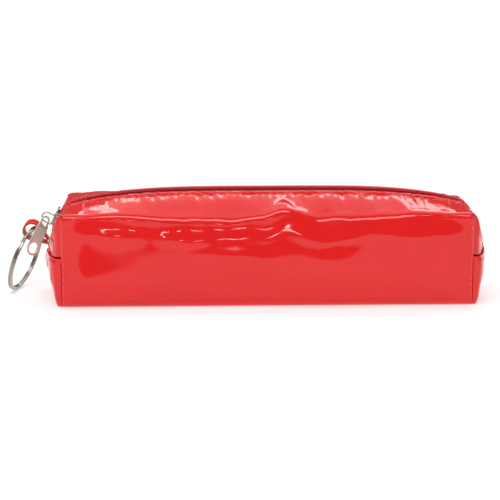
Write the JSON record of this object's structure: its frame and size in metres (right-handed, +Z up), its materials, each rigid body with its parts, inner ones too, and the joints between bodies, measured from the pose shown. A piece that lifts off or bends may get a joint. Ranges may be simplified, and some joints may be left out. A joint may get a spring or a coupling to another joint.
{
  "type": "zip pouch",
  "caption": "Long boxy patent vinyl pouch with a zip along the top and down both ends, a nickel puller, and a split ring on a side loop.",
  "frame": {"origin": "middle of the base, on the surface the pouch stands on", "axes": "+X along the zip from the end with the slider to the plain end, -Y to the front face, +Z up"},
  "size_m": [0.234, 0.055, 0.0545],
  "materials": {
    "patent_vinyl": "patent gloss",
    "lining": "woven",
    "thread": "twisted thread",
    "zip_tape": "woven tape",
    "zip_coil": "semi gloss",
    "nickel": "polished nickel"
  },
  "bodies": {
    "pouch": {"front_panel": "patent_vinyl", "back_panel": "patent_vinyl", "left_end_upper_front": "patent_vinyl", "left_end_upper_back": "patent_vinyl", "left_end_lower": "patent_vinyl", "right_end_upper_front": "patent_vinyl", "right_end_upper_back": "patent_vinyl", "right_end_lower": "patent_vinyl", "lining_front": "lining", "lining_back": "lining", "base_seam_binding": "lining", "left_end_seam_binding": "lining", "right_end_seam_binding": "lining", "front_left_corner_binding": "lining", "back_left_corner_binding": "lining", "front_right_corner_binding": "lining", "back_right_corner_binding": "lining", "front_corner_stitching": "thread", "back_corner_stitching": "thread", "zip_tape_left_end": "zip_tape", "zip_tape_right_end": "zip_tape", "zip_coil_left_end": "zip_coil", "zip_coil_right_end": "zip_coil", "top_stops": "nickel", "bottom_stop": "nickel"},
    "mouth_front": {"front_top_strip": "patent_vinyl", "lining_front_strip": "lining", "zip_tape_front": "zip_tape", "zip_coil_front": "zip_coil", "front_topstitch": "thread"},
    "mouth_back": {"back_top_strip": "patent_vinyl", "lining_back_strip": "lining", "zip_tape_back": "zip_tape", "zip_coil_back": "zip_coil", "back_topstitch": "thread"},
    "slider": {"slider_body": "nickel", "slider_bridge": "nickel"},
    "pull": {"pull_tab": "nickel"},
    "loop": {"strap_loop": "patent_vinyl"},
    "ring": {"split_ring": "nickel"}
  },
  "joints": [
    {"name": "slider_travel", "type": "hinge", "parent": "pouch", "child": "slider", "pos_m": [0.00018, 0, -0.03881], "axis": [0, 1, 0], "range_deg": [0, 101], "deforming": ["zip_tape_front", "zip_tape_back", "zip_coil_front", "zip_coil_back", "zip_tape_left_end", "zip_tape_right_end", "zip_coil_left_end", "zip_coil_right_end"]},
    {"name": "mouth_front", "type": "hinge", "parent": "pouch", "child": "mouth_front", "pos_m": [0, -0.0244, 0.0444], "axis": [1, 0, 0], "range_deg": [0, 60]},
    {"name": "mouth_back", "type": "hinge", "parent": "pouch", "child": "mouth_back", "pos_m": [0, 0.0244, 0.0444], "axis": [-1, 0, 0], "range_deg": [0, 60]},
    {"name": "pull_swing", "type": "hinge", "parent": "slider", "child": "pull", "pos_m": [-0.10673, 0.00044, 0.03966], "axis": [0, 1, 0], "range_deg": [0, 150]},
    {"name": "loop_flex", "type": "hinge", "parent": "pouch", "child": "loop", "pos_m": [-0.10623, 0.013, 0.024], "axis": [0, 1, 0], "range_deg": [-30, 25], "stiffness_Nm_per_rad": 0.01},
    {"name": "ring_swing", "type": "hinge", "parent": "loop", "child": "ring", "pos_m": [-0.11399, 0.013, 0.03149], "axis": [0, 1, 0], "range_deg": [0, 80]}
  ],
  "couplings": [
    {"joint": "mouth_front", "follows": "slider_travel", "ratio": 0.57},
    {"joint": "mouth_back", "follows": "slider_travel", "ratio": 0.57}
  ]
}
